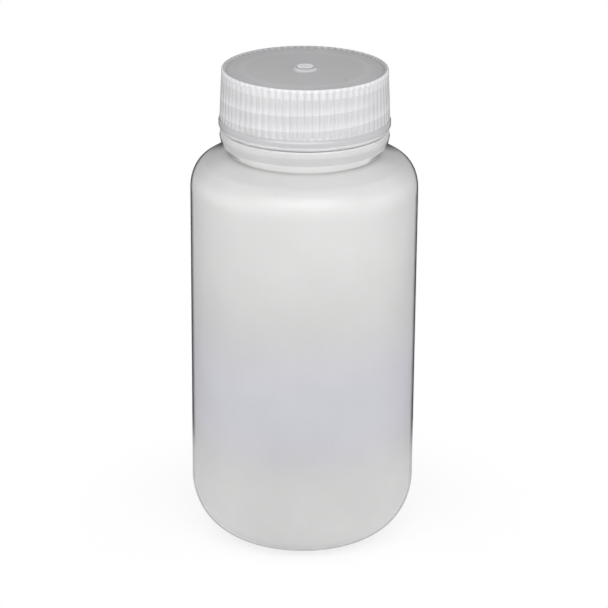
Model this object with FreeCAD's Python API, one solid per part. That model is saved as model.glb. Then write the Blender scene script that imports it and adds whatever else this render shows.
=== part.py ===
"""Wide-mouth laboratory bottle with a ribbed screw cap and a sealing insert.

Millimetres, +Z up, origin at the centre of the foot, on the surface that the bottle stands on.
Radii are measured from the bottle's axis. Heights are measured from the foot, unless a name
says otherwise.
"""

import FreeCAD
import Part
import math
import os

# Bottle body
body_radius = 30.75
wall = 1.3
heel_width = 13.2
heel_height = 15.6
side_top = 99.3
shoulder_width = 5.1
shoulder_height = 7.9
shoulder_slope = 16.5  # degrees, of the cone between the rounded shoulder and the neck

# Underside
foot_width = 2.4
push_up = 1.8
push_up_slope_width = 4.0
push_up_round = 2.0
foot_inner_round = 1.0

# Neck and mouth
neck_radius = 19.8
neck_wall = 2.3
neck_height = 20.27  # from the crease to the land that the seal closes on
land_round = 0.45
neck_inner_round = 3.0

# Neck foot and carrying ring: widths beyond the neck, and heights above the crease that the
# shoulder and the neck meet in
crease_inset = 0.1
crease_round = 0.4
ring_lower_width = 2.55
ring_lower_height = 2.65
ring_width = 3.05
ring_widest_height = 4.9
ring_top_width = 2.75
ring_top_height = 6.3
ring_lower_round = 0.6
ring_side_round = 2.0
ring_top_round = 0.4
ring_top_fall = 0.35

# Screw thread, right-handed, one start
thread_pitch = 4.23
thread_depth = 1.1
thread_root_width = 2.1
thread_crest_width = 0.9
thread_embed = 0.3
thread_sink = 0.1  # of a faded end, below its wall
thread_fade = 40.0  # degrees over which each end of a thread sinks into its wall
thread_step = 20.0  # degrees between the sections that carry a thread
thread_drop = 0.9  # from the land to the upper edge of the neck's thread
thread_end = -29.0  # degrees round from +X to where both threads end at the top
neck_thread_room = 3.0  # from the ring's top up to the middle of the thread's lower end
cap_thread_room = 2.7  # from the cap's lower edge up to the middle of the thread's lower end

# Clearances
thread_radial_clearance = 0.45
flank_clearance = 0.15
cap_ring_gap = 0.45
seat_gap = 0.02
plug_clearance = 0.2
insert_edge_clearance = 0.4
insert_play = 0.25

# Sealing insert
insert_thickness = 1.0
plug_depth = 2.2
plug_thickness = 0.9
plug_lead_in = 0.3

# Cap
cap_top_thickness = 1.5
skirt_wall = 0.9  # at the top, over the crests of the ribs
rim_width = 0.9
rim_height = 0.45
rim_slope_width = 0.3
rim_round = 0.45
bead_wall = 1.75
bead_height = 2.8
bead_lower_rise = 1.15
bead_foot_width = 0.55
bead_round = 1.0
bead_step = 0.25  # from the bead in to the crests of the ribs above it
bead_step_height = 0.5
cap_mouth_chamfer = 0.4
retainer_height = 0.7
retainer_depth = 0.6

# Ribs round the cap
rib_count = 72
rib_groove_depth = 0.36
rib_groove_share = 0.7  # of the pitch between ribs
rib_end_below_rim = 0.75
rib_start_above_bead = 0.3

# Gate boss on the cap
gate_base_radius = 3.3
gate_ledge_radius = 2.55
gate_ledge_height = 0.55
gate_disc_radius = 2.2
gate_height = 0.95
gate_dimple_radius = 1.5
gate_dimple_depth = 0.12

# Worked out from the values above
mouth_radius = neck_radius - neck_wall
crease_radius = neck_radius - crease_inset
ring_lower_radius = neck_radius + ring_lower_width
ring_radius = neck_radius + ring_width
ring_top_radius = neck_radius + ring_top_width
slope = math.radians(shoulder_slope)
shoulder_turn = math.atan2(shoulder_height, shoulder_width * math.tan(slope))
shoulder_end_radius = body_radius - shoulder_width * (1 - math.cos(shoulder_turn))
shoulder_end_height = side_top + shoulder_height * math.sin(shoulder_turn)
crease_height = shoulder_end_height + (shoulder_end_radius - crease_radius) * math.tan(slope)
ring_top = crease_height + ring_top_height
land_height = crease_height + neck_height
thread_crest_radius = neck_radius + thread_depth
cap_inner_radius = thread_crest_radius + thread_radial_clearance
cap_top_radius = cap_inner_radius + skirt_wall
bead_radius = cap_inner_radius + bead_wall
insert_bottom = land_height + seat_gap
insert_top = insert_bottom + insert_thickness
ceiling_height = insert_top + seat_gap
cap_flat_height = ceiling_height + cap_top_thickness
cap_top_height = cap_flat_height + rim_height
cap_bottom = ring_top + cap_ring_gap
bead_top = cap_bottom + bead_height
rib_crest_radius = bead_radius - bead_step
neck_thread_top = land_height - thread_drop - thread_root_width / 2
retainer_top = insert_bottom - insert_play
thread_slant = (thread_root_width - thread_crest_width) / 2 / thread_depth
thread_lap = thread_depth - thread_radial_clearance
thread_shift = thread_crest_width + thread_slant * thread_lap + flank_clearance
cap_thread_top = neck_thread_top - thread_shift
neck_thread_turns = (neck_thread_top - ring_top - neck_thread_room) / thread_pitch
cap_thread_turns = (cap_thread_top - cap_bottom - cap_thread_room) / thread_pitch


def point(radius, height):
    """A point of an outline, in the plane that is turned about the axis."""
    return FreeCAD.Vector(radius, 0, height)


def corner_arc(before, corner, after, rounding):
    """Where an arc of the given radius leaves, halves and meets the two lines at a corner."""
    back = (before - corner).normalize()
    ahead = (after - corner).normalize()
    half_angle = back.getAngle(ahead) / 2
    reach = rounding / math.tan(half_angle)
    middle = (back + ahead).normalize()
    start = corner + back * reach
    end = corner + ahead * reach
    top = corner + middle * (rounding / math.sin(half_angle) - rounding)
    return start, top, end


def rounded_line(corners):
    """Edges through (radius, height, rounding) corners, with an arc where rounding isn't zero."""
    edges = []
    places = [point(radius, height) for radius, height, rounding in corners]
    here = places[0]
    for number in range(1, len(corners) - 1):
        rounding = corners[number][2]
        if rounding == 0:
            edges.append(Part.LineSegment(here, places[number]).toShape())
            here = places[number]
            continue
        before, after = places[number - 1], places[number + 1]
        start, top, end = corner_arc(before, places[number], after, rounding)
        edges.append(Part.LineSegment(here, start).toShape())
        edges.append(Part.Arc(start, top, end).toShape())
        here = end
    edges.append(Part.LineSegment(here, places[-1]).toShape())
    return edges


def oval_edge(centre, upright_end, level_end, first_angle, last_angle):
    """Part of an upright oval, by angles from its upright half axis towards its level one."""
    oval = Part.Ellipse(upright_end, level_end, centre)
    return Part.ArcOfEllipse(oval, first_angle, last_angle).toShape()


def turned(edges):
    """The solid that a closed outline makes when it is turned once round the axis."""
    outline = Part.Wire(Part.__sortEdges__(edges))
    axis_start = FreeCAD.Vector(0, 0, 0)
    axis = FreeCAD.Vector(0, 0, 1)
    return Part.Face(outline).revolve(axis_start, axis, 360)


def body_edges(inset):
    """Heel, side and rounded shoulder, drawn inset from the outer surface."""
    heel_centre = point(body_radius - heel_width, heel_height)
    heel_foot = point(body_radius - heel_width, inset)
    heel_side = point(body_radius - inset, heel_height)
    shoulder_centre = point(body_radius - shoulder_width, side_top)
    shoulder_side = point(body_radius - inset, side_top)
    shoulder_peak = point(body_radius - shoulder_width, side_top + shoulder_height - inset)
    width, height = shoulder_width - inset, shoulder_height - inset
    turn = math.atan2(height, width * math.tan(slope))
    shoulder_start = math.pi / 2 - turn
    heel = oval_edge(heel_centre, heel_foot, heel_side, 0, math.pi / 2)
    shoulder = oval_edge(shoulder_centre, shoulder_peak, shoulder_side, shoulder_start, math.pi / 2)
    side = Part.LineSegment(heel_side, shoulder_side).toShape()
    cone_start = shoulder_centre + point(width * math.cos(turn), height * math.sin(turn))
    return [heel, side, shoulder], heel_foot, cone_start


def base_edges(heel_foot, inset):
    """Foot and raised middle of the underside, from the axis out to the heel."""
    step_outer = heel_foot.x - foot_width + inset
    step_inner = step_outer - push_up_slope_width
    top = inset + push_up
    return rounded_line(
        [
            (0, top, 0),
            (step_inner, top, push_up_round),
            (step_outer, heel_foot.z, foot_inner_round),
            (heel_foot.x, heel_foot.z, 0),
        ]
    )


def outer_form():
    """The bottle's outside as a full solid."""
    edges, heel_foot, cone_start = body_edges(0)
    edges += base_edges(heel_foot, 0)
    edges += rounded_line(
        [
            (cone_start.x, cone_start.z, 0),
            (crease_radius, crease_height, crease_round),
            (ring_lower_radius, crease_height + ring_lower_height, ring_lower_round),
            (ring_radius, crease_height + ring_widest_height, ring_side_round),
            (ring_top_radius, ring_top, ring_top_round),
            (neck_radius, ring_top - ring_top_fall, crease_round),
            (neck_radius, land_height, land_round),
            (0, land_height, 0),
        ]
    )
    edges.append(Part.LineSegment(point(0, land_height), point(0, push_up)).toShape())
    return turned(edges)


def inner_form():
    """The bottle's inside, with a mouth that flares where it meets the land."""
    edges, heel_foot, cone_start = body_edges(wall)
    edges += base_edges(heel_foot, wall)
    cone_run = cone_start.x - mouth_radius
    cone_top = cone_start.z + cone_run * math.tan(slope)
    flare = land_round
    edges += rounded_line(
        [
            (cone_start.x, cone_start.z, 0),
            (mouth_radius, cone_top, neck_inner_round),
            (mouth_radius, land_height - flare, 0),
            (mouth_radius + flare, land_height, 0),
            (0, land_height, 0),
        ]
    )
    edges.append(Part.LineSegment(point(0, land_height), point(0, wall + push_up)).toShape())
    return turned(edges)


def thread_section(angle, height, wall_radius, side, rise):
    """One section of a thread: a trapezium that stands on its wall and is sunk a little into it."""
    buried_radius = wall_radius - side * thread_embed
    crest_radius = wall_radius + side * rise
    crest_half = thread_root_width / 2 - thread_slant * rise
    corners = [
        point(buried_radius, height - thread_root_width / 2),
        point(crest_radius, height - crest_half),
        point(crest_radius, height + crest_half),
        point(buried_radius, height + thread_root_width / 2),
    ]
    section = Part.makePolygon(corners + corners[:1])
    section.rotate(FreeCAD.Vector(0, 0, 0), FreeCAD.Vector(0, 0, 1), angle)
    return section


def thread_ridge(wall_radius, side, end_angle, end_height, turns):
    """A helical ridge that fades out at both ends; side is 1 for an outer wall, -1 for an inner."""
    span = turns * 360
    count = round(span / thread_step)
    sections = []
    for number in range(count + 1):
        back = span * number / count
        fade = min(1, back / thread_fade, (span - back) / thread_fade)
        rise = (thread_depth + thread_sink) * math.sin(fade * math.pi / 2) - thread_sink
        height = end_height - thread_pitch * back / 360
        sections.append(thread_section(end_angle - back, height, wall_radius, side, rise))
    return Part.makeLoft(sections, True, False)


def make_bottle():
    """Body, shoulder, carrying ring and threaded neck, blown in one piece."""
    thread = thread_ridge(neck_radius, 1, thread_end, neck_thread_top, neck_thread_turns)
    return outer_form().cut(inner_form()).fuse(thread).removeSplitter()


def make_insert():
    """Sealing insert: a disc that lies on the land, with a plug lip that enters the mouth."""
    edge = cap_inner_radius - insert_edge_clearance
    lip_outer = mouth_radius - plug_clearance
    lip_inner = lip_outer - plug_thickness
    lip_bottom = insert_bottom - plug_depth
    edges = rounded_line(
        [
            (0, insert_top, 0),
            (edge, insert_top, 0),
            (edge, insert_bottom, 0),
            (lip_outer, insert_bottom, 0),
            (lip_outer, lip_bottom + plug_lead_in, 0),
            (lip_outer - plug_lead_in, lip_bottom, 0),
            (lip_inner, lip_bottom, 0),
            (lip_inner, insert_bottom, 0),
            (0, insert_bottom, 0),
        ]
    )
    edges.append(Part.LineSegment(point(0, insert_bottom), point(0, insert_top)).toShape())
    return turned(edges)


def cap_outside():
    """The cap's outside as a full solid, before its ribs are cut: rim, drafted side and bead."""
    rim_inner = cap_top_radius - rim_width
    foot_radius = cap_inner_radius + cap_mouth_chamfer + bead_foot_width
    edges = rounded_line(
        [
            (0, cap_flat_height, 0),
            (rim_inner - rim_slope_width, cap_flat_height, 0),
            (rim_inner, cap_top_height, 0),
            (cap_top_radius, cap_top_height, rim_round),
            (rib_crest_radius, bead_top, bead_step),
            (bead_radius, bead_top - bead_step_height, bead_step),
            (bead_radius, cap_bottom + bead_lower_rise, bead_round),
            (foot_radius, cap_bottom, 0),
            (0, cap_bottom, 0),
        ]
    )
    edges.append(Part.LineSegment(point(0, cap_bottom), point(0, cap_flat_height)).toShape())
    return turned(edges)


def cap_inside():
    """The room inside the cap, with the retainer that the insert is snapped over."""
    retainer_radius = cap_inner_radius - retainer_depth
    chamfer_top = cap_bottom + cap_mouth_chamfer
    edges = rounded_line(
        [
            (0, cap_bottom, 0),
            (cap_inner_radius + cap_mouth_chamfer, cap_bottom, 0),
            (cap_inner_radius, chamfer_top, 0),
            (cap_inner_radius, retainer_top - retainer_height, 0),
            (retainer_radius, retainer_top - retainer_height / 2, 0),
            (cap_inner_radius, retainer_top, 0),
            (cap_inner_radius, ceiling_height, 0),
            (0, ceiling_height, 0),
        ]
    )
    edges.append(Part.LineSegment(point(0, ceiling_height), point(0, cap_bottom)).toShape())
    return turned(edges)


def groove_end(height, crest_radius):
    """The V of one groove between two ribs, at one height."""
    half_width = math.pi * crest_radius / rib_count * rib_groove_share
    root_radius = crest_radius - rib_groove_depth
    beyond = crest_radius + rib_groove_depth
    corners = [
        FreeCAD.Vector(root_radius, 0, height),
        FreeCAD.Vector(beyond, -2 * half_width, height),
        FreeCAD.Vector(beyond, 2 * half_width, height),
    ]
    return Part.makePolygon(corners + corners[:1])


def rib_grooves():
    """The grooves that leave the cap's upright ribs standing between them."""
    lower = bead_top + rib_start_above_bead
    upper = cap_top_height - rib_end_below_rim
    side_height = cap_top_height - bead_top
    draft = (rib_crest_radius - cap_top_radius) / side_height
    lower_radius = rib_crest_radius - draft * (lower - bead_top)
    upper_radius = rib_crest_radius - draft * (upper - bead_top)
    ends = [groove_end(lower, lower_radius), groove_end(upper, upper_radius)]
    groove = Part.makeLoft(ends, True, True)
    grooves = []
    for number in range(rib_count):
        copy = groove.copy()
        copy.rotate(FreeCAD.Vector(0, 0, 0), FreeCAD.Vector(0, 0, 1), 360 * number / rib_count)
        grooves.append(copy)
    return grooves


def gate_boss():
    """The stepped stub in the middle of the cap where the plastic came in."""
    edges = rounded_line(
        [
            (0, ceiling_height + cap_top_thickness / 2, 0),
            (gate_base_radius, ceiling_height + cap_top_thickness / 2, 0),
            (gate_base_radius, cap_flat_height, 0),
            (gate_ledge_radius, cap_flat_height + gate_ledge_height, 0),
            (gate_disc_radius, cap_flat_height + gate_ledge_height, 0),
            (gate_disc_radius, cap_flat_height + gate_height, gate_dimple_depth),
            (gate_dimple_radius, cap_flat_height + gate_height, 0),
            (gate_dimple_radius, cap_flat_height + gate_height - gate_dimple_depth, 0),
            (0, cap_flat_height + gate_height - gate_dimple_depth, 0),
        ]
    )
    top = point(0, cap_flat_height + gate_height - gate_dimple_depth)
    bottom = point(0, ceiling_height + cap_top_thickness / 2)
    edges.append(Part.LineSegment(top, bottom).toShape())
    return turned(edges)


def make_cap():
    """Screw cap, moulded in one piece: ribbed skirt, bead, top with its gate, and inner thread."""
    thread = thread_ridge(cap_inner_radius, -1, thread_end, cap_thread_top, cap_thread_turns)
    shell = cap_outside().cut(rib_grooves()).cut(cap_inside())
    return shell.fuse([thread, gate_boss()]).removeSplitter()


nodes = {
    "bottle": make_bottle(),
    "screw_cap": make_cap(),
    "sealing_insert": make_insert(),
}

os.makedirs("parts", exist_ok=True)
for name, shape in nodes.items():
    shape.exportStep(f"parts/{name}.step")
    size = shape.BoundBox
    print(name, shape.isValid(), len(shape.Solids), round(shape.Volume, 1), len(shape.Faces), size)
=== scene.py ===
"""Looks of a wide-mouth laboratory bottle: milky translucent walls, ribbed cap, seal, studio.

Metres, +Z up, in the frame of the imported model. The bottle, its cap and its sealing insert are
turned from their sections, and their threads and ribs are raised by rules round the axis.
"""

import logging
import math
from collections.abc import Callable
from dataclasses import dataclass, field, replace
from enum import Enum

import bmesh
import bpy
import numpy as np
from bpy.types import ID, Material, Node, NodeSocket, NodeTree, Object, World
from mathutils import Matrix, Vector


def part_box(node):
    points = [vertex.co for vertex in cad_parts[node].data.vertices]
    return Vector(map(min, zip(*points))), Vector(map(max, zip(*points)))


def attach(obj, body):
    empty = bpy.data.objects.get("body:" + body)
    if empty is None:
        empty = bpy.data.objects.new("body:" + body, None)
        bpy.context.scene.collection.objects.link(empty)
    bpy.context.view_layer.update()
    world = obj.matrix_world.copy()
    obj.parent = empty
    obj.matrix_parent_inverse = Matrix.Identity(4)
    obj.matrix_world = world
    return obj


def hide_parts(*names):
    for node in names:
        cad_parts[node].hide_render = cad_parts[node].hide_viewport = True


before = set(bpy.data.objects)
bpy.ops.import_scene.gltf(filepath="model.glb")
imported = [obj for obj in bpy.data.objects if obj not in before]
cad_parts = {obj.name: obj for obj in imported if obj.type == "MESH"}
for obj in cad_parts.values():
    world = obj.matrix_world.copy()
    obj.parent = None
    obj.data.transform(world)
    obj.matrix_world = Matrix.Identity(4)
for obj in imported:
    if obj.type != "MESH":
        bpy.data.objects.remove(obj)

MM = 0.001
TINY = 0.001 * MM
Pair = tuple[float, float]
Colour = tuple[float, float, float, float]
log = logging.getLogger("bottle")


class Tree:
    """A node tree with one way to add a node, and short ways to what most trees here have."""

    def __init__(self, nodes: NodeTree) -> None:
        """Wraps a shader, world or geometry tree."""
        self.tree = nodes

    def node(self, kind: str, settings: dict | None = None, sockets: dict | None = None) -> Node:
        """Adds a node, sets its options first, then fills or links its input sockets.

        Args:
            kind: the node's type name.
            settings: option names and values.
            sockets: input names or numbers, with a value, a socket or a Value.

        Returns:
            The new node.
        """
        made = self.tree.nodes.new(kind)
        for option, value in (settings or {}).items():
            setattr(made, option, value)
        for key, value in (sockets or {}).items():
            if isinstance(value, Value):
                value = value.socket
            if isinstance(value, NodeSocket):
                self.tree.links.new(value, made.inputs[key])
            else:
                made.inputs[key].default_value = value
        return made

    def parts(self, vector: NodeSocket) -> tuple["Value", "Value", "Value"]:
        """Splits a vector socket into its three numbers."""
        split = self.node("ShaderNodeSeparateXYZ", sockets={0: vector})
        return tuple(Value(self, socket) for socket in split.outputs)

    def place(self) -> NodeSocket:
        """Object coordinates."""
        return self.node("ShaderNodeTexCoord").outputs["Object"]

    def mixed(self, share: "Value", first: object, second: object, blend: str = "MIX") -> NodeSocket:
        """Mixes two colours, from the first at a share of 0 to the second at 1."""
        # The node's colours are its inputs 6 and 7 and its output 2.
        settings = {"data_type": "RGBA", "blend_type": blend}
        return self.node("ShaderNodeMix", settings, {0: share, 6: first, 7: second}).outputs[2]

    def surface(self, shader: Node) -> None:
        """Ends a material's tree with a shader."""
        self.node("ShaderNodeOutputMaterial", sockets={"Surface": shader.outputs[0]})


def maths_node(operation: str, swapped: bool = False) -> Callable[..., "Value"]:
    """Makes a method of Value that adds one maths node.

    Args:
        operation: the node's operation.
        swapped: whether the value itself is the last input, as in a reflected operator.

    Returns:
        The method, which takes the node's other inputs, numbers or Values, in order.
    """
    settings = {"operation": operation}

    def add(value: "Value", *others: "Value | float") -> "Value":
        """Adds the node and wraps its result."""
        terms = dict(enumerate((*others, value) if swapped else (value, *others)))
        return Value(value.tree, value.tree.node("ShaderNodeMath", settings, terms).outputs[0])

    return add


class Value:
    """A number on a socket, with Python's operators and a few functions as maths nodes."""

    __add__ = maths_node("ADD")
    __radd__ = maths_node("ADD", swapped=True)
    __sub__ = maths_node("SUBTRACT")
    __rsub__ = maths_node("SUBTRACT", swapped=True)
    __mul__ = maths_node("MULTIPLY")
    __rmul__ = maths_node("MULTIPLY", swapped=True)
    __truediv__ = maths_node("DIVIDE")
    __rtruediv__ = maths_node("DIVIDE", swapped=True)
    __abs__ = maths_node("ABSOLUTE")
    power = maths_node("POWER")
    lowest = maths_node("MINIMUM")
    highest = maths_node("MAXIMUM")
    fraction = maths_node("FRACT")
    rounded = maths_node("ROUND")
    sine = maths_node("SINE")
    cosine = maths_node("COSINE")
    arctangent = maths_node("ARCTAN2")
    # These give 1 or 0: above a limit, and no further from a target than a margin.
    above = maths_node("GREATER_THAN")
    within = maths_node("COMPARE")

    def __init__(self, tree: Tree, socket: NodeSocket) -> None:
        """Keeps the tree and the socket that carries the number."""
        self.tree = tree
        self.socket = socket

    def clamped(self) -> "Value":
        """Held between 0 and 1."""
        return Value(self.tree, self.tree.node("ShaderNodeClamp", sockets={0: self}).outputs[0])

    def length(self, other: "Value") -> "Value":
        """Length of a line that goes this far one way and the other number across it."""
        return (self * self + other * other).power(0.5)

    def smooth(self, low: float, high: float) -> "Value":
        """A soft step from 0 at low to 1 at high; it falls where high is the lower one."""
        share = ((self - low) / (high - low)).clamped()
        return share * share * (3 - 2 * share)

    def past(self, limit: float, edge: float) -> "Value":
        """A soft step from 0 to 1 over an edge on both sides of a limit."""
        return self.smooth(limit - edge, limit + edge)


def grey(shade: float) -> Colour:
    """An opaque grey, from 0 for black to 1 for white."""
    return (shade, shade, shade, 1.0)


def bare_tree(owner: Material | World) -> Tree:
    """Gives a material or a world an empty tree.

    Args:
        owner: the new material or world.

    Returns:
        Its tree, without a node.
    """
    owner.use_nodes = True
    owner.node_tree.nodes.clear()
    return Tree(owner.node_tree)


def placed(name: str, data: ID) -> Object:
    """Makes an object and puts it in the scene.

    Args:
        name: the object's name.
        data: its mesh, light or camera.

    Returns:
        The object.
    """
    made = bpy.data.objects.new(name, data)
    bpy.context.scene.collection.objects.link(made)
    return made


@dataclass
class Outline:
    """Half of a turned piece's section: (radius, height) points in metres, in order."""

    points: list[Pair] = field(default_factory=list)

    def to(self, radius: float, height: float) -> "Outline":
        """Goes straight to a point."""
        self.points.append((radius, height))
        return self

    def rows(self, radius: float, height: float, step: float) -> "Outline":
        """Goes straight to a point through evenly spaced rows, for a surface that is shaped later.

        Args:
            radius: where the run ends.
            height: where the run ends.
            step: the most that two rows may be apart.

        Returns:
            The outline itself.
        """
        start = self.points[-1]
        count = max(1, math.ceil(math.dist(start, (radius, height)) / step))
        for number in range(1, count + 1):
            share = number / count
            self.points.append(
                (start[0] + (radius - start[0]) * share, start[1] + (height - start[1]) * share)
            )
        return self

    def oval(self, centre: Pair, size: Pair, angles: Pair, steps: int) -> "Outline":
        """Follows an upright oval.

        Args:
            centre: its centre.
            size: its level and its upright half axis.
            angles: first and last angle in radians, from the level axis upwards.
            steps: how many straight pieces the arc has.

        Returns:
            The outline itself.
        """
        for angle in np.linspace(angles[0], angles[1], steps + 1):
            place = (centre[0] + size[0] * math.cos(angle), centre[1] + size[1] * math.sin(angle))
            if not self.points or math.dist(self.points[-1], place) > TINY:
                self.points.append(place)
        return self

    def bend(self, corner: Pair, after: Pair, rounding: float, steps: int = 6) -> "Outline":
        """Goes round a corner on a tangent arc, on the way to the point after it.

        Args:
            corner: the sharp corner.
            after: where the outline heads next.
            rounding: the arc's radius.
            steps: how many straight pieces the arc has.

        Returns:
            The outline itself.
        """
        tip = Vector(corner)
        back = (Vector(self.points[-1]) - tip).normalized()
        ahead = (Vector(after) - tip).normalized()
        half = back.angle(ahead) / 2
        reach = rounding / math.tan(half)
        centre = tip + (back + ahead).normalized() * (rounding / math.sin(half))
        first = tip + back * reach - centre
        last = tip + ahead * reach - centre
        turn = math.pi - 2 * half
        for number in range(steps + 1):
            share = number / steps
            first_share = math.sin((1 - share) * turn) / math.sin(turn)
            last_share = math.sin(share * turn) / math.sin(turn)
            place = centre + first * first_share + last * last_share
            self.points.append((place.x, place.y))
        return self


def turned_object(name: str, outline: Outline, segments: int, material: Material) -> Object:
    """Turns an outline round the axis; the piece is closed where its two ends lie on the axis.

    Args:
        name: the piece's name.
        outline: half of its section.
        segments: how many steps go round the axis.
        material: what the piece wears.

    Returns:
        The new object, at the origin.
    """
    turn = np.linspace(0, 2 * math.pi, segments, endpoint=False)
    around = np.column_stack([np.cos(turn), np.sin(turn)])
    corners: list[tuple[float, float, float]] = []
    rings: list[list[int]] = []
    for radius, height in outline.points:
        first = len(corners)
        if radius < TINY:
            corners.append((0.0, 0.0, height))
            rings.append([first])
            continue
        corners.extend((radius * x, radius * y, height) for x, y in around)
        rings.append(list(range(first, first + segments)))
    faces: list[tuple[int, ...]] = []
    for low, high in zip(rings, rings[1:]):
        for here in range(segments):
            ahead = (here + 1) % segments
            if len(low) == 1:
                faces.append((low[0], high[ahead], high[here]))
            elif len(high) == 1:
                faces.append((low[here], low[ahead], high[0]))
            else:
                faces.append((low[here], low[ahead], high[ahead], high[here]))
    mesh = bpy.data.meshes.new(name)
    mesh.from_pydata(corners, [], faces)
    shell = bmesh.new()
    shell.from_mesh(mesh)
    bmesh.ops.recalc_face_normals(shell, faces=shell.faces)
    shell.to_mesh(mesh)
    shell.free()
    mesh.materials.append(material)
    return placed(name, mesh)


def soften(made: Object, crease: float = math.radians(38)) -> None:
    """Shades a piece smooth, apart from edges that turn more than the crease angle."""
    made.data.polygons.foreach_set("use_smooth", [True] * len(made.data.polygons))
    made.data.set_sharp_from_angle(angle=crease)


class RoundTheAxis:
    """A geometry tree that moves a turned piece's wall in or out by a rule."""

    def __init__(self, made: Object, name: str, sizes: dict[str, float]) -> None:
        """Makes the tree with one named input for each size.

        Args:
            made: the turned piece that it shapes.
            name: what the rule makes.
            sizes: input names and their values.
        """
        self.made = made
        self.sizes = sizes
        self.group = bpy.data.node_groups.new(f"{made.name}_{name}", "GeometryNodeTree")
        face = self.group.interface
        face.new_socket("Geometry", in_out="INPUT", socket_type="NodeSocketGeometry")
        self.identifiers: dict[str, str] = {}
        for label in sizes:
            socket = face.new_socket(label, in_out="INPUT", socket_type="NodeSocketFloat")
            self.identifiers[label] = socket.identifier
        face.new_socket("Geometry", in_out="OUTPUT", socket_type="NodeSocketGeometry")
        self.tree = Tree(self.group)
        self.entry = self.tree.node("NodeGroupInput")
        position = self.tree.node("GeometryNodeInputPosition").outputs[0]
        self.x, self.y, self.z = self.tree.parts(position)
        self.radius = self.x.length(self.y)
        self.angle = self.y.arctangent(self.x)

    def size(self, label: str) -> Value:
        """The value of one named input."""
        return Value(self.tree, self.entry.outputs[label])

    def shape(self, outward: Value) -> None:
        """Ends the tree and keeps its result as the piece's plain mesh.

        Args:
            outward: how far each point moves away from the axis.
        """
        scale = (self.radius + outward) / self.radius.highest(TINY)
        moved = {"X": self.x * scale, "Y": self.y * scale, "Z": self.z}
        place = self.tree.node("ShaderNodeCombineXYZ", sockets=moved)
        moving = {"Geometry": self.entry.outputs["Geometry"], "Position": place.outputs[0]}
        moved = self.tree.node("GeometryNodeSetPosition", sockets=moving)
        real = self.tree.node("GeometryNodeRealizeInstances", sockets={0: moved.outputs[0]})
        dressing = {"Geometry": real.outputs[0], "Material": self.made.data.materials[0]}
        dressed = self.tree.node("GeometryNodeSetMaterial", sockets=dressing)
        self.tree.node("NodeGroupOutput", sockets={"Geometry": dressed.outputs[0]})
        modifier = self.made.modifiers.new(self.group.name, "NODES")
        modifier.node_group = self.group
        for label, identifier in self.identifiers.items():
            modifier[identifier] = self.sizes[label]
        self.made.update_tag()
        result = self.made.evaluated_get(bpy.context.evaluated_depsgraph_get())
        mesh = bpy.data.meshes.new_from_object(result)
        self.made.modifiers.remove(modifier)
        self.made.data = mesh


@dataclass(frozen=True)
class Thread:
    """Sizes of the screw thread that the neck and the cap share."""

    pitch: float = 4.23 * MM
    depth: float = 1.1 * MM
    root_width: float = 2.1 * MM
    crest_width: float = 0.9 * MM
    radial_clearance: float = 0.45 * MM
    flank_clearance: float = 0.15 * MM
    fade_turns: float = 40 / 360
    end_angle: float = math.radians(-29)
    drop: float = 0.9 * MM
    neck_room: float = 3.0 * MM
    cap_room: float = 2.7 * MM
    row_step: float = 0.13 * MM
    wall_margin: float = 0.01 * MM

    def neck_top(self, land: float) -> float:
        """Height of the neck thread's middle at its upper end, under a land of a given height."""
        return land - self.drop - self.root_width / 2

    def nearest(
        self, height: Value, angle: Value, top: Value | float, turns: Value | float
    ) -> tuple[Value, Value]:
        """Finds the nearest pass of the helix.

        Args:
            height: height of the place that is asked about.
            angle: its angle round the axis in radians.
            top: height of the ridge's middle at its upper end.
            turns: how many turns the ridge makes.

        Returns:
            How far the place is above the middle of that pass, and how much of the ridge is
            there, from 0 beyond its ends to 1.
        """
        lead = ((self.end_angle - angle) / (2 * math.pi)).fraction()
        turn = lead + ((top - height) / self.pitch - lead).rounded()
        end_room = turn.lowest(turns - turn)
        share = ((end_room / self.fade_turns).clamped() * (math.pi / 2)).sine()
        return height - top + turn * self.pitch, share

    def shift(self) -> float:
        """How far the cap's thread lies under the neck's thread when the cap is closed."""
        slant = (self.root_width - self.crest_width) / 2 / self.depth
        return self.crest_width + slant * (self.depth - self.radial_clearance) + self.flank_clearance

    def raise_on(self, made: Object, wall_radius: float, side: int, top: float, turns: float) -> None:
        """Raises the helical ridge on a wall.

        Args:
            made: the turned piece.
            wall_radius: the radius of the wall that the thread stands on.
            side: 1 for an outer wall, -1 for an inner one.
            top: height of the thread's middle at its upper end.
            turns: how many turns the thread makes.
        """
        sizes = {
            "Wall radius": wall_radius,
            "Side": float(side),
            "Depth": self.depth,
            "Top height": top,
            "Turns": turns,
        }
        rule = RoundTheAxis(made, "thread", sizes)
        above, share = self.nearest(rule.z, rule.angle, rule.size("Top height"), rule.size("Turns"))
        slope = (self.root_width / 2 - abs(above)) / ((self.root_width - self.crest_width) / 2)
        ridge = slope.lowest(share).highest(0.0)
        on_wall = rule.radius.within(rule.size("Wall radius"), self.wall_margin)
        rule.shape(ridge * on_wall * rule.size("Depth") * rule.size("Side"))


class Gloss(Enum):
    """How smooth the mould left a surface."""

    SATIN = 0.34
    SMOOTH = 0.22
    SOFT = 0.42


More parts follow.
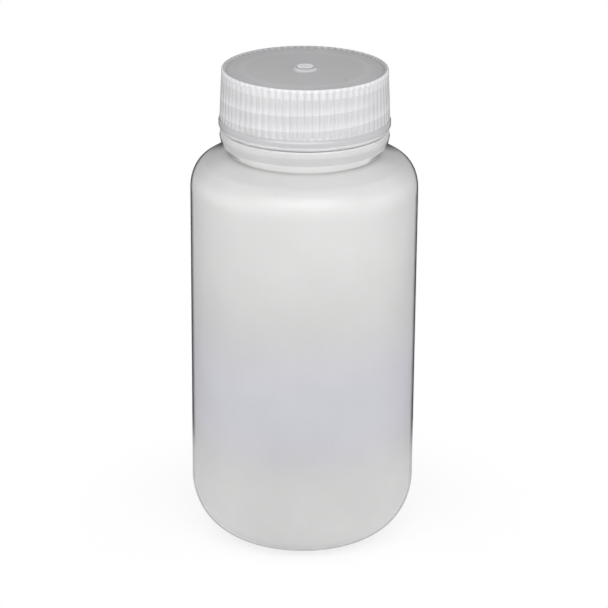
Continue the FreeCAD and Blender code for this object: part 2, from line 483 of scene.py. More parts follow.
@dataclass(frozen=True)
class MilkyPlastic:
    """A milky, translucent moulded plastic: light soaks in, spreads and comes out again."""

    name: str
    tint: tuple[float, float, float]
    gloss: Gloss
    clearness: float
    spread: float
    spread_tint: tuple[float, float, float] = (1.0, 1.0, 1.06)
    index: float = 1.49
    shine: float = 0.5
    reach: float = 0.4
    cool: Colour = (0.985, 0.985, 1.06, 1.0)
    mottle: float = 0.16
    mottle_size: float = 14 * MM
    pattern_detail: float = 3.0
    streak_size: float = 1.6 * MM
    streak_stretch: float = 24.0
    streak_share: float = 0.2
    grain_size: float = 0.25 * MM
    grain_height: float = 0.01 * MM
    grain_roughness: float = 0.06
    patch_roughness: float = 0.05
    wave_size: float = 9 * MM
    wave_stretch: float = 2.5
    wave_height: float = 0.08 * MM
    skim: float = 0.84
    skim_zone: Pair = (0.76, 0.89)
    skim_roughness: float = 0.12

    def noise(self, tree: Tree, place: NodeSocket, size: float, stretch: float = 1.0) -> Value:
        """A soft random pattern in object space.

        Args:
            tree: the material's tree.
            place: object coordinates.
            size: how large its patches are.
            stretch: how much longer they are along the axis.

        Returns:
            The pattern, about 0 to 1.
        """
        scale = (1.0, 1.0, 1.0 / stretch)
        mapped = tree.node("ShaderNodeMapping", sockets={"Vector": place, "Scale": scale})
        settings = {"Vector": mapped.outputs[0], "Scale": 1 / size, "Detail": self.pattern_detail}
        return Value(tree, tree.node("ShaderNodeTexNoise", sockets=settings).outputs[0])

    def painted_light_and_tone(self, x: Value, y: Value, z: Value) -> Value | float:
        """How much painted light (above 0) or painted shade (below 0), with any real tone, a place gets
        over its tint, about -1 to 1.
        """
        return 0.0

    def dullness(self, z: Value) -> Value | float:
        """How much rougher than its gloss the surface is at a height."""
        return 0.0

    def coolness(self, z: Value) -> Value | float:
        """How bluish the plastic is at a height, from 0 to 1."""
        return 0.0

    def calm(self, z: Value) -> Value | float:
        """How far the edge gloss is held back at a height, from 0 to 1."""
        return 0.0

    def material(self) -> Material:
        """Builds the material from its patterns, its painted light and shade by place and its gloss.

        Returns:
            The new material.
        """
        made = bpy.data.materials.new(self.name)
        tree = bare_tree(made)
        place = tree.place()
        patches = self.noise(tree, place, self.mottle_size)
        streaks = self.noise(tree, place, self.streak_size, self.streak_stretch)
        grain = self.noise(tree, place, self.grain_size)
        waves = self.noise(tree, place, self.wave_size, self.wave_stretch)
        mottle = (patches * (1 - self.streak_share) + streaks * self.streak_share - 0.5) * self.mottle
        x, y, z = tree.parts(place)
        # The tint goes paler or deeper with the random mottle and with the painted light and shade of each
        # place.
        shade = (mottle + self.painted_light_and_tone(x, y, z) * 0.5 + 0.5).clamped()
        deep = tuple(channel * (1 - self.reach) for channel in self.tint) + (1.0,)
        pale = tuple(min(1.0, channel * (1 + self.reach)) for channel in self.tint) + (1.0,)
        colour_with_painted_light = tree.mixed(shade, deep, pale)
        fine = {"Strength": 1.0, "Distance": self.grain_height, "Height": grain}
        bump = tree.node("ShaderNodeBump", sockets=fine)
        broad = {"Strength": 1.0, "Distance": self.wave_height, "Height": waves, "Normal": bump.outputs[0]}
        bump = tree.node("ShaderNodeBump", sockets=broad)
        unevenness = (grain - 0.5) * self.grain_roughness + (patches - 0.5) * self.patch_roughness
        sockets = {
            "Base Color": tree.mixed(self.coolness(z), colour_with_painted_light, self.cool, "MULTIPLY"),
            "Roughness": (unevenness + self.gloss.value + self.dullness(z)).clamped(),
            "IOR": self.index,
            "Specular IOR Level": self.shine,
            "Normal": bump.outputs[0],
            "Subsurface Weight": 1.0,
            "Subsurface Radius": self.spread_tint,
            "Subsurface Scale": self.spread,
            "Transmission Weight": self.clearness,
        }
        plastic = tree.node("ShaderNodeBsdfPrincipled", {"subsurface_method": "RANDOM_WALK"}, sockets)
        facing = Value(tree, tree.node("ShaderNodeLayerWeight").outputs["Facing"])
        skim = facing.smooth(*self.skim_zone) * (1 - self.calm(z)) * self.skim
        gloss = {"Color": grey(1.0), "Roughness": self.skim_roughness}
        sheer = tree.node("ShaderNodeBsdfAnisotropic", sockets=gloss)
        mixed = {0: skim, 1: plastic.outputs[0], 2: sheer.outputs[0]}
        tree.surface(tree.node("ShaderNodeMixShader", sockets=mixed))
        return made


@dataclass(frozen=True)
class BottlePlastic(MilkyPlastic):
    """The bottle's plastic: painted light at the waist, gap and neck, painted shade at belly, shoulder,
    crease and ring, and a whiter heel that is partly thicker plastic, partly painted light.
    """

    crease_height: float = 0.0
    ring_top: float = 0.0
    waist: float = 2.6 * MM
    neck_zone: float = 24.0 * MM
    edge: float = 0.25 * MM
    waist_painted_light: float = 0.8
    ring_painted_shade: float = -0.3
    gap: float = 0.9 * MM
    gap_painted_light: float = 1.0
    neck_painted_light: float = 0.15
    crease_shade_width: float = 0.3 * MM
    crease_painted_shade: float = -0.5
    belly_low: Pair = (14.0 * MM, 38.0 * MM)
    belly_high: Pair = (92.0 * MM, 64.0 * MM)
    belly_painted_shade: float = -0.14
    cool_low: Pair = (22.0 * MM, 40.0 * MM)
    cool_high: Pair = (72.0 * MM, 50.0 * MM)
    shoulder: Pair = (102.5 * MM, 106.5 * MM)
    shoulder_painted_shade: float = -0.28
    heel: Pair = (16.0 * MM, 4.0 * MM)
    heel_tone_and_painted_light: float = 0.3

    def coolness(self, z: Value) -> Value:
        """The thin belly looks bluish."""
        return z.smooth(*self.cool_low) * z.smooth(*self.cool_high)

    def calm(self, z: Value) -> Value:
        """No dark edge round the gap over the ring."""
        return z.within(self.ring_top, self.gap)

    def painted_light_and_tone(self, x: Value, y: Value, z: Value) -> Value:
        """Painted light and shade: heel, belly and shoulder; then crease, waist, ring, gap and neck, near
        the axis only.

        Args:
            x: object coordinate.
            y: object coordinate.
            z: object coordinate, the height.

        Returns:
            The painted light (above 0) or shade (below 0), about -1 to 1.
        """
        waist_foot, gap_top = self.crease_height + self.edge, self.ring_top + self.gap
        # Painted shade: a dark line in the crease and a darker ring; painted light: a brighter waist band,
        # gap and neck under the cap.
        line = z.smooth(self.crease_height - 2 * self.crease_shade_width, self.crease_height)
        line = line * z.smooth(waist_foot + self.crease_shade_width, waist_foot)
        waist = z.smooth(self.crease_height, waist_foot)
        ring = z.past(self.crease_height + self.waist, self.edge)
        gap = z.past(self.ring_top, self.edge)
        neck = z.smooth(gap_top, gap_top + self.edge)
        high = line * self.crease_painted_shade + waist * self.waist_painted_light
        high = high + ring * (self.ring_painted_shade - self.waist_painted_light)
        high = high + gap * (self.gap_painted_light - self.ring_painted_shade)
        high = high + neck * (self.neck_painted_light - self.gap_painted_light)
        # Painted shade: a darker shoulder and a darker belly.
        shoulder = z.smooth(*self.shoulder) * z.smooth(waist_foot, self.crease_height)
        belly = z.smooth(*self.belly_low) * z.smooth(*self.belly_high)
        low = belly * self.belly_painted_shade + shoulder * self.shoulder_painted_shade
        # The whiter heel is partly its thicker plastic, partly painted light from the floor.
        low = low + z.smooth(*self.heel) * self.heel_tone_and_painted_light
        return high * (1 - x.length(y).above(self.neck_zone)) + low


@dataclass(frozen=True)
class CapPlastic(MilkyPlastic):
    """The cap's plastic: painted light where the thread, web and seal lip show through and in the gap
    under the skirt, painted shade over the hollow, and a speck of dirt.
    """

    thread: Thread = Thread()
    thread_top: float = 0.0
    thread_turns: float = 0.0
    flat: float = 0.0
    bottom: float = 0.0
    top_radius: float = 0.0
    rib_count: int = 0
    rib_low: float = 0.0
    rib_high: float = 0.0
    edge: float = 0.4 * MM
    bending: float = 0.75 * MM
    thread_reach: float = 1.9 * MM
    thread_painted_light: float = 0.45
    web_height: float = 2.4 * MM
    web_least: float = 0.4
    web_painted_light: float = 0.35
    bead_height: float = 0.9 * MM
    bead_painted_shade: float = -0.2
    foot_painted_light: float = 1.0
    hollow_painted_shade: float = -0.45
    lip_inner: float = 16.0 * MM
    lip_outer: float = 17.8 * MM
    lip_painted_light: float = 0.12
    gate_radius: float = 3.4 * MM
    gate_change: float = 0.5
    disc_change: float = 0.5
    disc_radius: float = 2.12 * MM
    gate_line_radius: float = 2.5 * MM
    gate_line_top: float = 0.78 * MM
    gate_line_painted_shade: float = -1.6
    tick_width: float = 1.6 * MM
    tick_painted_shade: float = -0.5
    rim_width: float = 0.4 * MM
    rim_foot: float = 0.06 * MM
    rim_height: float = 0.0
    rim_painted_shade: float = -0.1
    groove_painted_light: float = 0.5
    speck: Pair = (10.8 * MM, -10.4 * MM)
    speck_radius: float = 0.55 * MM
    speck_change: float = -2.0
    top_dullness: float = 0.3
    skirt_calm: float = 0.5

    def dullness(self, z: Value) -> Value:
        """The flat top is rougher than the skirt."""
        return z.above(self.flat - self.edge) * self.top_dullness

    def calm(self, z: Value) -> Value:
        """No dark edge on the flat top, nor in the gap under the skirt, and a faint one on the skirt.

        Args:
            z: object coordinate, the height.

        Returns:
            How far the edge gloss is held back, from 0 to 1.
        """
        on_rim = z.within(self.flat + self.rim_foot + self.rim_height / 2, self.rim_height / 2)
        flat_top = z.above(self.flat - self.edge) - on_rim
        skirt = (1 - on_rim) * self.skirt_calm
        return flat_top.highest(1 - z.above(self.bottom + self.bead_height)).highest(skirt)

    def painted_light_and_tone(self, x: Value, y: Value, z: Value) -> Value:
        """Painted light and shade at the side: thread bands, web, bead, grooves; on top: lip, ticks, gate
        line, hollow; a brighter gate and a speck of dirt.

        Args:
            x: object coordinate.
            y: object coordinate.
            z: object coordinate, the height.

        Returns:
            The painted light (above 0) or shade (below 0), with the gate and the speck, about -1 to 1.
        """
        radius = x.length(y)
        angle = y.arctangent(x)
        outermost = radius.above(self.top_radius - self.rim_width)
        on_top = z.above(self.flat - self.edge) * (1 - outermost)
        crest = 0.5 - (angle * self.rib_count).cosine() * 0.5
        # The thread bands are painted light where the inner thread shows through the skirt.
        top = self.thread_top + self.bending
        above, share = self.thread.nearest(z, angle, top, self.thread_turns)
        band_foot = -self.thread.crest_width / 2
        fading = ((self.thread_reach - above) / (self.thread_reach - band_foot)).clamped()
        bands = above.smooth(band_foot - self.edge / 2, band_foot) * fading * share
        web_foot, foot = self.flat - self.web_height, self.bottom + self.bead_height
        web = z.smooth(web_foot, web_foot + self.edge) * (crest + self.web_least)
        ribbed = z.smooth(self.rib_low, self.rib_low + self.edge)
        ribbed = ribbed * z.smooth(self.rib_high, self.rib_high - self.edge)
        # Painted light on the web, the foot over the gap and the grooves; painted shade on the bead and
        # the outer rim.
        side = bands * self.thread_painted_light + web * self.web_painted_light
        side = side + (1 - z.above(self.rib_low)) * self.bead_painted_shade
        side = side + z.smooth(foot + self.edge, foot) * self.foot_painted_light
        side = side + (1 - crest) * ribbed * self.groove_painted_light
        side = side + outermost * z.above(self.flat) * self.rim_painted_shade
        # On top: painted light over the seal lip, painted shade on the ticks, the gate line and the whole
        # hollow; the speck is dirt.
        lip = radius.past(self.lip_inner, self.edge) * (1 - radius.past(self.lip_outer, self.edge))
        gate = 1 - radius.past(self.gate_radius, self.edge)
        ticks = radius.past(self.top_radius - self.tick_width, self.edge) * crest
        speck = 1 - (x - self.speck[0]).length(y - self.speck[1]).above(self.speck_radius)
        off_disc = radius.above(self.disc_radius)
        raised = z.above(self.flat + self.gate_line_top)
        line = off_disc * (1 - radius.above(self.gate_line_radius)) * (1 - raised)
        flat = lip * self.lip_painted_light + gate * self.gate_change + ticks * self.tick_painted_shade
        flat = flat + speck * self.speck_change + line * self.gate_line_painted_shade
        flat = flat + (1 - off_disc) * raised * self.disc_change + self.hollow_painted_shade
        return side * (1 - on_top) + flat * on_top


@dataclass
class Bottle:
    """The blown body with its heel, shoulder, carrying ring and threaded neck, in one piece."""

    thread: Thread
    finish: BottlePlastic
    node: str = "bottle"
    wall: float = 1.3 * MM
    heel_size: Pair = (13.2 * MM, 15.6 * MM)
    side_top: float = 99.3 * MM
    shoulder_size: Pair = (5.1 * MM, 7.9 * MM)
    shoulder_slope: float = math.radians(16.5)
    foot_width: float = 2.4 * MM
    push_up: float = 1.8 * MM
    push_up_slope_width: float = 4.0 * MM
    push_up_round: float = 2.0 * MM
    foot_inner_round: float = 1.0 * MM
    neck_radius: float = 19.8 * MM
    neck_wall: float = 2.3 * MM
    neck_height: float = 20.27 * MM
    land_round: float = 0.45 * MM
    neck_inner_round: float = 3.0 * MM
    crease_inset: float = 0.1 * MM
    crease_round: float = 0.4 * MM
    ring_lower_edge: Pair = (2.55 * MM, 2.65 * MM)
    ring_widest: Pair = (3.05 * MM, 4.9 * MM)
    ring_top_width: float = 2.75 * MM
    ring_top_height: float = 6.5 * MM
    ring_lower_round: float = 0.6 * MM
    ring_side_round: float = 2.0 * MM
    ring_top_round: float = 0.4 * MM
    ring_top_fall: float = 0.08 * MM
    row_step: float = 4.0 * MM
    foot_row_step: float = 3.0 * MM
    segments: int = 288

    def __post_init__(self) -> None:
        """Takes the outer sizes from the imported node."""
        low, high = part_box(self.node)
        self.radius = (high.x - low.x) / 2
        self.land = high.z
        self.crease_height = self.land - self.neck_height
        self.mouth_radius = self.neck_radius - self.neck_wall
        self.ring_top = self.crease_height + self.ring_top_height

    def shoulder_turn(self, size: Pair) -> float:
        """Angle on the shoulder's oval, outside or inside, where the cone to the neck leaves it."""
        return math.atan2(size[1], size[0] * math.tan(self.shoulder_slope))

    def outline(self) -> Outline:
        """Section from the middle of the underside round the outside and back inside.

        Returns:
            The outline.
        """
        heel = (self.radius - self.heel_size[0], self.heel_size[1])
        shoulder = (self.radius - self.shoulder_size[0], self.side_top)
        heel_inside = (self.heel_size[0] - self.wall, self.heel_size[1] - self.wall)
        shoulder_inside = (self.shoulder_size[0] - self.wall, self.shoulder_size[1] - self.wall)
        outer_turn = self.shoulder_turn(self.shoulder_size)
        inner_turn = self.shoulder_turn(shoulder_inside)
        step_outer = heel[0] - self.foot_width
        step_inner = step_outer - self.push_up_slope_width
        crease = (self.neck_radius - self.crease_inset, self.crease_height)
        ring_low = (self.neck_radius + self.ring_lower_edge[0], crease[1] + self.ring_lower_edge[1])
        ring_side = (self.neck_radius + self.ring_widest[0], crease[1] + self.ring_widest[1])
        ring_top = (self.neck_radius + self.ring_top_width, self.ring_top)
        neck_foot = (self.neck_radius, self.ring_top - self.ring_top_fall)
        land = (self.neck_radius, self.land)
        mouth = (self.mouth_radius + self.land_round, self.land)
        section = Outline().to(0, self.push_up).rows(step_inner / 2, self.push_up, self.foot_row_step)
        section.bend((step_inner, self.push_up), (step_outer, 0), self.push_up_round)
        section.bend((step_outer, 0), (heel[0], 0), self.foot_inner_round)
        section.oval(heel, self.heel_size, (-math.pi / 2, 0), steps=40)
        section.rows(self.radius, self.side_top, self.row_step)
        section.oval(shoulder, self.shoulder_size, (0, outer_turn), steps=28)
        section.bend(crease, ring_low, self.crease_round)
        section.bend(ring_low, ring_side, self.ring_lower_round)
        section.bend(ring_side, ring_top, self.ring_side_round)
        section.bend(ring_top, neck_foot, self.ring_top_round)
        section.bend(neck_foot, land, self.crease_round)
        section.rows(land[0], land[1] - 2 * self.land_round, self.thread.row_step)
        section.bend(land, mouth, self.land_round).to(*mouth)
        section.to(self.mouth_radius, self.land - self.land_round)
        cone_radius = shoulder[0] + shoulder_inside[0] * math.cos(inner_turn)
        cone_height = shoulder[1] + shoulder_inside[1] * math.sin(inner_turn)
        rise = (cone_radius - self.mouth_radius) * math.tan(self.shoulder_slope)
        inner_corner = (self.mouth_radius, cone_height + rise)
        section.bend(inner_corner, (cone_radius, cone_height), self.neck_inner_round, steps=10)
        section.oval(shoulder, shoulder_inside, (inner_turn, 0), steps=20)
        section.rows(self.radius - self.wall, heel[1], self.row_step)
        section.oval(heel, heel_inside, (0, -math.pi / 2), steps=30)
        slope_foot = (step_outer + self.wall, self.wall)
        slope_head = (slope_foot[0] - self.push_up_slope_width, self.wall + self.push_up)
        section.bend(slope_foot, slope_head, self.foot_inner_round)
        section.bend(slope_head, (0, slope_head[1]), self.push_up_round)
        return section.to(0, slope_head[1])

    def build(self) -> Object:
        """Turns the bottle, raises its thread and dresses it.

        Returns:
            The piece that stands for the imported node.
        """
        finish = replace(self.finish, crease_height=self.crease_height, ring_top=self.ring_top)
        made = turned_object("bottle_shell", self.outline(), self.segments, finish.material())
        top = self.thread.neck_top(self.land)
        turns = (top - self.ring_top - self.thread.neck_room) / self.thread.pitch
        self.thread.raise_on(made, self.neck_radius, 1, top, turns)
        soften(made)
        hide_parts(self.node)
        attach(made, "bottle")
        return made


@dataclass
class Ribs:
    """The upright ribs round the cap, as the grooves that leave them standing."""

    count: int = 72
    groove_depth: float = 0.36 * MM
    groove_share: float = 0.7
    end_below_rim: float = 0.75 * MM
    start_above_bead: float = 0.3 * MM
    end_softness: float = 0.35 * MM
    segments_each: int = 6

    def press_into(self, made: Object, lower: float, upper: float, inner_radius: float) -> None:
        """Presses the grooves into the outside of a turned piece.

        Args:
            made: the turned piece.
            lower: height of the grooves' lower ends.
            upper: height of their upper ends.
            inner_radius: points nearer the axis than this stay.
        """
        sizes = {
            "Rib count": float(self.count),
            "Groove depth": self.groove_depth,
            "Groove share": self.groove_share,
            "Lower end": lower,
            "Upper end": upper,
            "End softness": self.end_softness,
            "Inner radius": inner_radius,
        }
        rule = RoundTheAxis(made, "ribs", sizes)
        place = (rule.angle / (2 * math.pi) + 1.0) * rule.size("Rib count")
        off_middle = abs((place + 0.5).fraction() - 0.5) * 2
        across = (off_middle / rule.size("Groove share")).clamped()
        valley = (across * math.pi).cosine() * 0.5 + 0.5
        from_low = ((rule.z - rule.size("Lower end")) / rule.size("End softness")).clamped()
        from_high = ((rule.size("Upper end") - rule.z) / rule.size("End softness")).clamped()
        outside = rule.radius.above(rule.size("Inner radius"))
        rule.shape(rule.size("Groove depth") * valley * from_low * from_high * outside * -1.0)


@dataclass
class ScrewCap:
    """The ribbed cap: top with rim and gate, drafted skirt, bead, inner thread and retainer."""

    thread: Thread
    ribs: Ribs
    finish: CapPlastic
    node: str = "screw_cap"
    neck_radius: float = 19.8 * MM
    skirt_wall: float = 0.9 * MM
    rim_width: float = 0.9 * MM
    rim_height: float = 0.45 * MM
    rim_slope_width: float = 0.3 * MM
    rim_round: float = 0.45 * MM
    bead_wall: float = 1.75 * MM
    bead_height: float = 2.8 * MM
    bead_lower_rise: float = 1.15 * MM
    bead_foot_width: float = 0.55 * MM
    bead_round: float = 1.0 * MM
    bead_step: float = 0.25 * MM
    bead_step_height: float = 0.5 * MM
    mouth_chamfer: float = 0.4 * MM
    retainer_height: float = 0.7 * MM
    retainer_depth: float = 0.6 * MM
    insert_play: float = 0.25 * MM
    seat_gap: float = 0.02 * MM
    gate_base_radius: float = 3.3 * MM
    gate_ledge_radius: float = 2.55 * MM
    gate_ledge_height: float = 0.55 * MM
    gate_disc_radius: float = 2.2 * MM
    gate_height: float = 0.95 * MM
    gate_dimple_radius: float = 1.5 * MM
    gate_dimple_depth: float = 0.12 * MM
    dimple_flat_share: float = 0.93
    dimple_edge_share: float = 0.3
    fine_round: float = 0.1 * MM
    gate_foot_round: float = 0.2 * MM
    edge_round: float = 0.12 * MM
    corner_round: float = 0.15 * MM
    rib_row_step: float = 0.35 * MM
    rib_row_inset: float = 0.02 * MM
    flat_row_step: float = 1.5 * MM
    flat_row_inset: float = 0.2 * MM
    inner_row_step: float = 3.0 * MM

    def __post_init__(self) -> None:
        """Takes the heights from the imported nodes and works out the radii."""
        low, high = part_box(self.node)
        self.bottom = low.z
        self.flat = high.z - self.gate_height
        self.top = self.flat + self.rim_height
        self.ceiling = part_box("sealing_insert")[1].z + self.seat_gap
        self.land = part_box("bottle")[1].z
        self.retainer_top = self.land + self.seat_gap - self.insert_play
        self.inner_radius = self.neck_radius + self.thread.depth + self.thread.radial_clearance
        self.top_radius = self.inner_radius + self.skirt_wall
        self.bead_radius = self.inner_radius + self.bead_wall
        self.bead_top = self.bottom + self.bead_height

    def outline(self) -> Outline:
        """Section from the gate over the rim, down the skirt and back up inside.

        Returns:
            The outline.
        """
        gate_top, ledge = self.flat + self.gate_height, self.flat + self.gate_ledge_height
        dimple = gate_top - self.gate_dimple_depth
        dimple_edge = gate_top - self.dimple_edge_share * self.gate_dimple_depth
        disc_foot = (self.gate_disc_radius, ledge)
        gate_foot = (self.gate_base_radius, self.flat)
        rim_inner = self.top_radius - self.rim_width
        rim_foot = (rim_inner - self.rim_slope_width, self.flat)
        rim = (self.top_radius, self.top)
        crest = (self.bead_radius - self.bead_step, self.bead_top)
        bead_high = (self.bead_radius, self.bead_top - self.bead_step_height)
        bead_low = (self.bead_radius, self.bottom + self.bead_lower_rise)
        mouth_radius = self.inner_radius + self.mouth_chamfer
        foot = (mouth_radius + self.bead_foot_width, self.bottom)
        section = Outline().to(0, dimple).to(self.gate_dimple_radius * self.dimple_flat_share, dimple)
        section.to(self.gate_dimple_radius, dimple_edge)
        section.bend((self.gate_disc_radius, gate_top), disc_foot, self.gate_dimple_depth, steps=4)
        section.to(*disc_foot).bend((self.gate_ledge_radius, ledge), gate_foot, self.fine_round, steps=3)
        section.bend(gate_foot, (rim_inner, self.flat), self.gate_foot_round, steps=3)
        section.rows(rim_foot[0] - self.flat_row_inset, self.flat, self.flat_row_step)
        section.bend(rim_foot, (rim_inner, self.top), self.corner_round, steps=3)
        section.bend((rim_inner, self.top), rim, self.edge_round, steps=3)
        section.bend(rim, crest, self.rim_round)
        section.rows(crest[0] - self.rib_row_inset, crest[1] + self.rib_row_step, self.rib_row_step)
        section.bend(crest, bead_high, self.bead_step, steps=4)
        section.bend(bead_high, bead_low, self.bead_step, steps=4)
        section.bend(bead_low, foot, self.bead_round)
        section.bend(foot, (mouth_radius, self.bottom), self.edge_round, steps=3)
        section.to(mouth_radius, self.bottom).to(self.inner_radius, self.bottom + self.mouth_chamfer)
        retainer_foot = self.retainer_top - self.retainer_height
        section.rows(self.inner_radius, retainer_foot, self.thread.row_step)
        tip = (self.inner_radius - self.retainer_depth, self.retainer_top - self.retainer_height / 2)
        section.bend(tip, (self.inner_radius, self.retainer_top), self.fine_round, steps=3)
        section.to(self.inner_radius, self.retainer_top)
        section.bend((self.inner_radius, self.ceiling), (0, self.ceiling), self.corner_round, steps=3)
        return section.rows(self.inner_row_step, self.ceiling, self.inner_row_step).to(0, self.ceiling)

    def build(self) -> Object:
        """Turns the cap, presses its ribs, raises its thread and dresses it.

        Returns:
            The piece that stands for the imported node.
        """
        top = self.thread.neck_top(self.land) - self.thread.shift()
        turns = (top - self.bottom - self.thread.cap_room) / self.thread.pitch
        lower = self.bead_top + self.ribs.start_above_bead
        upper = self.top - self.ribs.end_below_rim
        finish = replace(
            self.finish,
            thread=self.thread,
            thread_top=top,
            thread_turns=turns,
            flat=self.flat,
            rim_height=self.rim_height,
            bottom=self.bottom,
            top_radius=self.top_radius,
            rib_count=self.ribs.count,
            rib_low=lower,
            rib_high=upper,
        )
        segments = self.ribs.count * self.ribs.segments_each
        made = turned_object("cap_shell", self.outline(), segments, finish.material())
        self.ribs.press_into(made, lower, upper, self.top_radius - self.skirt_wall / 2)
        self.thread.raise_on(made, self.inner_radius, -1, top, turns)
        soften(made)
        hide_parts(self.node)
        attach(made, "screw_cap")
        return made


@dataclass
class SealingInsert:
    """The disc that seals the mouth, with the plug lip under it."""

    finish: MilkyPlastic
    node: str = "sealing_insert"
    thickness: float = 1.0 * MM
    lip_thickness: float = 0.9 * MM
    lip_clearance: float = 0.2 * MM
    lead_in: float = 0.3 * MM
    mouth_radius: float = 17.5 * MM
    edge_round: float = 0.12 * MM
    flat_share: float = 0.9
    row_step: float = 3.0 * MM
    segments: int = 192

    def build(self) -> Object:
        """Turns the insert and dresses it.

        Returns:
            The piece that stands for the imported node.
        """
        low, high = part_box(self.node)
        edge = high.x
        under = high.z - self.thickness
        lip_outer = self.mouth_radius - self.lip_clearance
        lip_inner = lip_outer - self.lip_thickness
        section = Outline().to(0, high.z).rows(edge * self.flat_share, high.z, self.row_step)
        section.bend((edge, high.z), (edge, under), self.edge_round, steps=3)
        section.bend((edge, under), (lip_outer, under), self.edge_round, steps=3)
        section.to(lip_outer, under).to(lip_outer, low.z + self.lead_in)
        section.bend((lip_outer - self.lead_in, low.z), (lip_inner, low.z), self.edge_round, steps=3)
        section.to(lip_inner, low.z).to(lip_inner, under)
        section.rows(self.row_step, under, self.row_step).to(0, under)
        made = turned_object("insert_shell", section, self.segments, self.finish.material())
        soften(made)
        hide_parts(self.node)
        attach(made, "sealing_insert")
        return made


def from_front(elevation: float) -> Vector:
    """The direction from the bottle to something in front of it, at an angle above the level."""
    return Vector((0, -math.cos(elevation), math.sin(elevation)))


@dataclass
class SoftLamp:
    """One broad soft box lamp in front, above the camera, that looks at the bottle's axis."""

    elevation: float = math.radians(31)
    distance: float = 0.2
    aim: float = 92 * MM
    width: float = 0.3
    height: float = 0.11
    power: float = 0.352

    def build(self) -> None:
        """Hangs the lamp and turns it towards its aim."""
        light = bpy.data.lights.new("soft_lamp", "AREA")
        light.shape = "RECTANGLE"
        light.size = self.width
        light.size_y = self.height
        light.energy = self.power
        made = placed("soft_lamp", light)
        back = from_front(self.elevation)
        made.location = Vector((0, 0, self.aim)) + back * self.distance
        made.rotation_mode = "QUATERNION"
        made.rotation_quaternion = (-back).to_track_quat("-Z", "Y")
        made.visible_camera = False


@dataclass
class DarkBoards:
    """Boards that only the bottle's gloss shows, to draw its edges: grey near the foot, then black."""

    inner_radius: float = 18 * MM
    grey_to: float = 62 * MM
    black_from: float = 88 * MM
    near_shade: float = 0.48
    far_shade: float = 0.01
    radius: float = 0.62
    height: float = 0.46
    lift: float = 0.3 * MM
    segments: int = 64

    def build(self) -> None:
        """Makes the board that lies round the foot and the upright one round the set, in one."""
        material = bpy.data.materials.new("board_black")
        section = Outline().to(self.inner_radius, self.lift).to(self.radius, self.lift)
        section.to(self.radius, self.height)
        made = turned_object("dark_boards", section, self.segments, material)
        tree = bare_tree(material)
        x, y, _ = tree.parts(tree.place())
        outwards = x.length(y).smooth(self.grey_to, self.black_from)
        shade = tree.mixed(outwards, grey(self.near_shade), grey(self.far_shade))
        tree.surface(tree.node("ShaderNodeEmission", sockets={"Color": shade, "Strength": 1.0}))
        for ray in ("camera", "diffuse", "transmission", "shadow"):
            setattr(made, f"visible_{ray}", False)


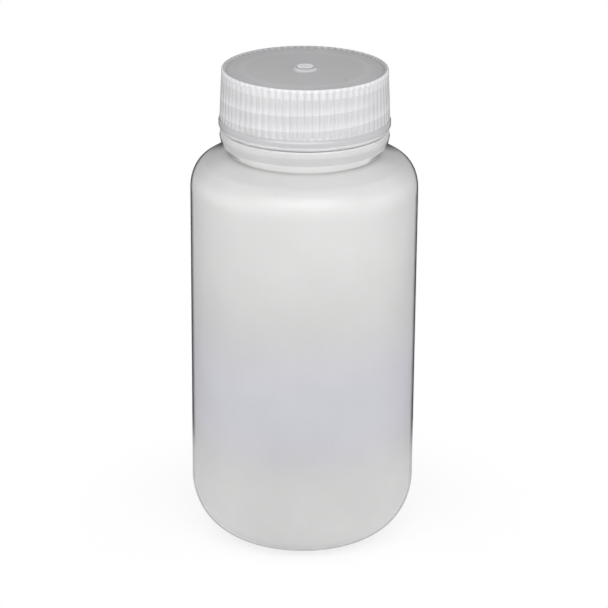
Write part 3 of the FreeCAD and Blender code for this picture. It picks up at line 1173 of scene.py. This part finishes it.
@dataclass
class Studio:
    """Pale floor, white surround, soft light and the camera."""

    camera_elevation: float = math.radians(20.624)
    camera_distance: float = 736.6 * MM
    camera_aim: float = 65.21 * MM
    camera_roll: float = math.radians(0.4042)
    camera_sensor: float = 36.0
    camera_lens: float = 158.93
    camera_shift: float = 0.0009
    floor_radius: float = 3.0
    floor_shade: float = 0.96
    fade: Pair = (0.03, 0.08)
    fade_least: float = 0.8
    side_light: float = 4.75
    right_light: float = 0.22
    back_light: float = 1.05
    level_reach: Pair = (0.0, 0.44)
    top_light: float = 0.84
    top_reach: Pair = (0.1, 0.9)
    under_light: float = 1.0
    under_reach: Pair = (-0.1, -0.9)

    def seen_directly(self, tree: Tree) -> Value:
        """Tells the rays that see a thing from those that light another one.

        Args:
            tree: the tree that asks.

        Returns:
            1 on rays from the camera, through clear plastic or off a gloss, else 0.
        """
        path = tree.node("ShaderNodeLightPath")
        rays = ("Is Camera Ray", "Is Glossy Ray", "Is Transmission Ray")
        camera, glossy, through = (Value(tree, path.outputs[ray]) for ray in rays)
        return camera.highest(glossy).highest(through)

    def surround(self) -> None:
        """A world that shows white, and lights softly with less from above."""
        world = bpy.data.worlds.new("surround")
        bpy.context.scene.world = world
        tree = bare_tree(world)
        across, along, height = tree.parts(tree.node("ShaderNodeTexCoord").outputs["Generated"])
        sideways = across * across
        behind = along.highest(0.0)
        level = sideways * sideways * sideways * self.side_light + behind * behind * self.back_light
        level = level + across * self.right_light
        level = level.highest(0.0) * (1 - height.smooth(*self.level_reach))
        above = height.smooth(*self.top_reach) * self.top_light
        under = height.smooth(*self.under_reach) * self.under_light
        shown = {0: self.seen_directly(tree)}
        for number, strength in ((1, level + above + under), (2, 1.0)):
            light = {"Color": grey(1.0), "Strength": strength}
            shown[number] = tree.node("ShaderNodeBackground", sockets=light).outputs[0]
        mixed = tree.node("ShaderNodeMixShader", sockets=shown)
        tree.node("ShaderNodeOutputWorld", sockets={"Surface": mixed.outputs[0]})

    def floor(self) -> None:
        """A pale floor that keeps the soft shadow near the bottle and fades to white."""
        mesh = bpy.data.meshes.new("floor")
        reach = self.floor_radius
        corners = [(-reach, -reach, 0), (reach, -reach, 0), (reach, reach, 0), (-reach, reach, 0)]
        mesh.from_pydata(corners, [], [(0, 1, 2, 3)])
        made = placed("floor", mesh)
        material = bpy.data.materials.new("floor_paint")
        tree = bare_tree(material)
        x, y, _ = tree.parts(tree.place())
        spread = x.length(y).smooth(*self.fade) * (1 - self.fade_least)
        fade = (spread + self.fade_least) * self.seen_directly(tree)
        paint = tree.node("ShaderNodeBsdfDiffuse", sockets={"Color": grey(self.floor_shade)})
        white = tree.node("ShaderNodeEmission", sockets={"Color": grey(1.0), "Strength": 1.0})
        shown = {0: fade, 1: paint.outputs[0], 2: white.outputs[0]}
        tree.surface(tree.node("ShaderNodeMixShader", sockets=shown))
        mesh.materials.append(material)

    def camera(self) -> None:
        """The camera at the photo's height, distance and slight roll."""
        data = bpy.data.cameras.new("camera")
        data.sensor_width = self.camera_sensor
        data.lens = self.camera_lens
        data.shift_x = self.camera_shift
        made = placed("camera", data)
        place = Vector((0, 0, self.camera_aim)) + from_front(self.camera_elevation) * self.camera_distance
        tilt = Matrix.Rotation(math.pi / 2 - self.camera_elevation, 4, "X")
        roll = Matrix.Rotation(self.camera_roll, 4, "Z")
        made.matrix_world = Matrix.Translation(place) @ tilt @ roll
        bpy.context.scene.camera = made

    def build(self) -> None:
        """Sets up everything round the bottle."""
        bpy.context.scene.view_settings.view_transform = "Standard"
        self.surround()
        self.floor()
        self.camera()
        SoftLamp().build()
        DarkBoards().build()


def main() -> None:
    """Builds the pieces in order, then the studio."""
    logging.basicConfig(level=logging.INFO, format="%(name)s: %(message)s")
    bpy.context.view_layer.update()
    bottle_plastic = BottlePlastic(
        "bottle_plastic", (0.66, 0.66, 0.658), Gloss.SATIN, clearness=0.05, spread=2.0 * MM
    )
    cap_plastic = CapPlastic(
        "cap_plastic", (0.55, 0.55, 0.562), Gloss.SMOOTH, clearness=0.05, spread=2.2 * MM
    )
    insert_plastic = MilkyPlastic(
        "insert_plastic", (0.92, 0.92, 0.91), Gloss.SOFT, clearness=0.3, spread=2.2 * MM
    )
    thread = Thread()
    pieces = [
        Bottle(thread, bottle_plastic).build(),
        ScrewCap(thread, Ribs(), cap_plastic).build(),
        SealingInsert(insert_plastic).build(),
    ]
    for piece in pieces:
        log.info("%s: %d faces", piece.name, len(piece.data.polygons))
    Studio().build()


if __name__ == "__main__":
    main()
